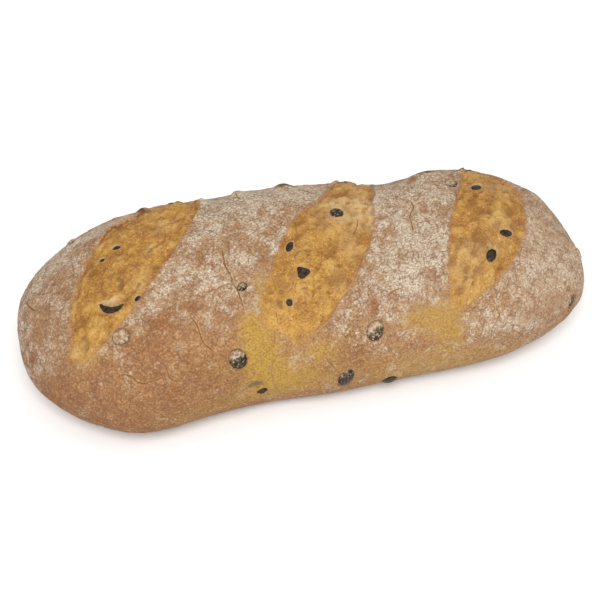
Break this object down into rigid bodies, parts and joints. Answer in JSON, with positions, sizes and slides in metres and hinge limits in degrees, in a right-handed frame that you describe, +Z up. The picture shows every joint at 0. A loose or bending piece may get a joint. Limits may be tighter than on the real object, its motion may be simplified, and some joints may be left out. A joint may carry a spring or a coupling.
{
  "type": "olive loaf",
  "caption": "Long hearth-baked bread with slashes across its back, flour on its crust and pieces of black olive baked into it.",
  "frame": {"origin": "on the surface that the loaf rests on, under the middle of its box", "axes": "+X along the loaf towards its right end, +Z up from the flat sole; the front, where most of the olive pieces show, faces -Y"},
  "size_m": [0.304, 0.1317, 0.0771],
  "materials": {
    "bread": "matt baked crust, orange-brown to tan, dusted with pale flour, with golden crumb in the slashes",
    "olive": "near-black olive flesh and skin, slightly glossy, partly dusted with flour"
  },
  "bodies": {
    "root": {"loaf": "bread", "olive_left_slash_half_slice": "olive", "olive_left_slash_chip": "olive", "olive_left_slash_top_piece": "olive", "olive_left_slash_fleck": "olive", "olive_left_floured_lump": "olive", "olive_crack_piece": "olive", "olive_front_round_piece": "olive", "olive_front_low_slit": "olive", "olive_middle_slash_top_piece": "olive", "olive_middle_slash_sliver": "olive", "olive_middle_slash_wedge": "olive", "olive_middle_slash_chip": "olive", "olive_front_large_piece": "olive", "olive_front_dark_piece": "olive", "olive_edge_dark_piece": "olive", "olive_right_slash_slit": "olive", "olive_right_slash_piece": "olive", "olive_right_slash_low_piece": "olive", "olive_left_rim_piece": "olive", "olive_right_rim_lump": "olive", "olive_right_end_piece": "olive", "olive_back_left_lump": "olive", "olive_back_left_low_piece": "olive", "olive_back_middle_half_slice": "olive", "olive_back_middle_low_lump": "olive", "olive_back_right_wedge": "olive", "olive_back_right_low_lump": "olive"}
  },
  "joints": []
}
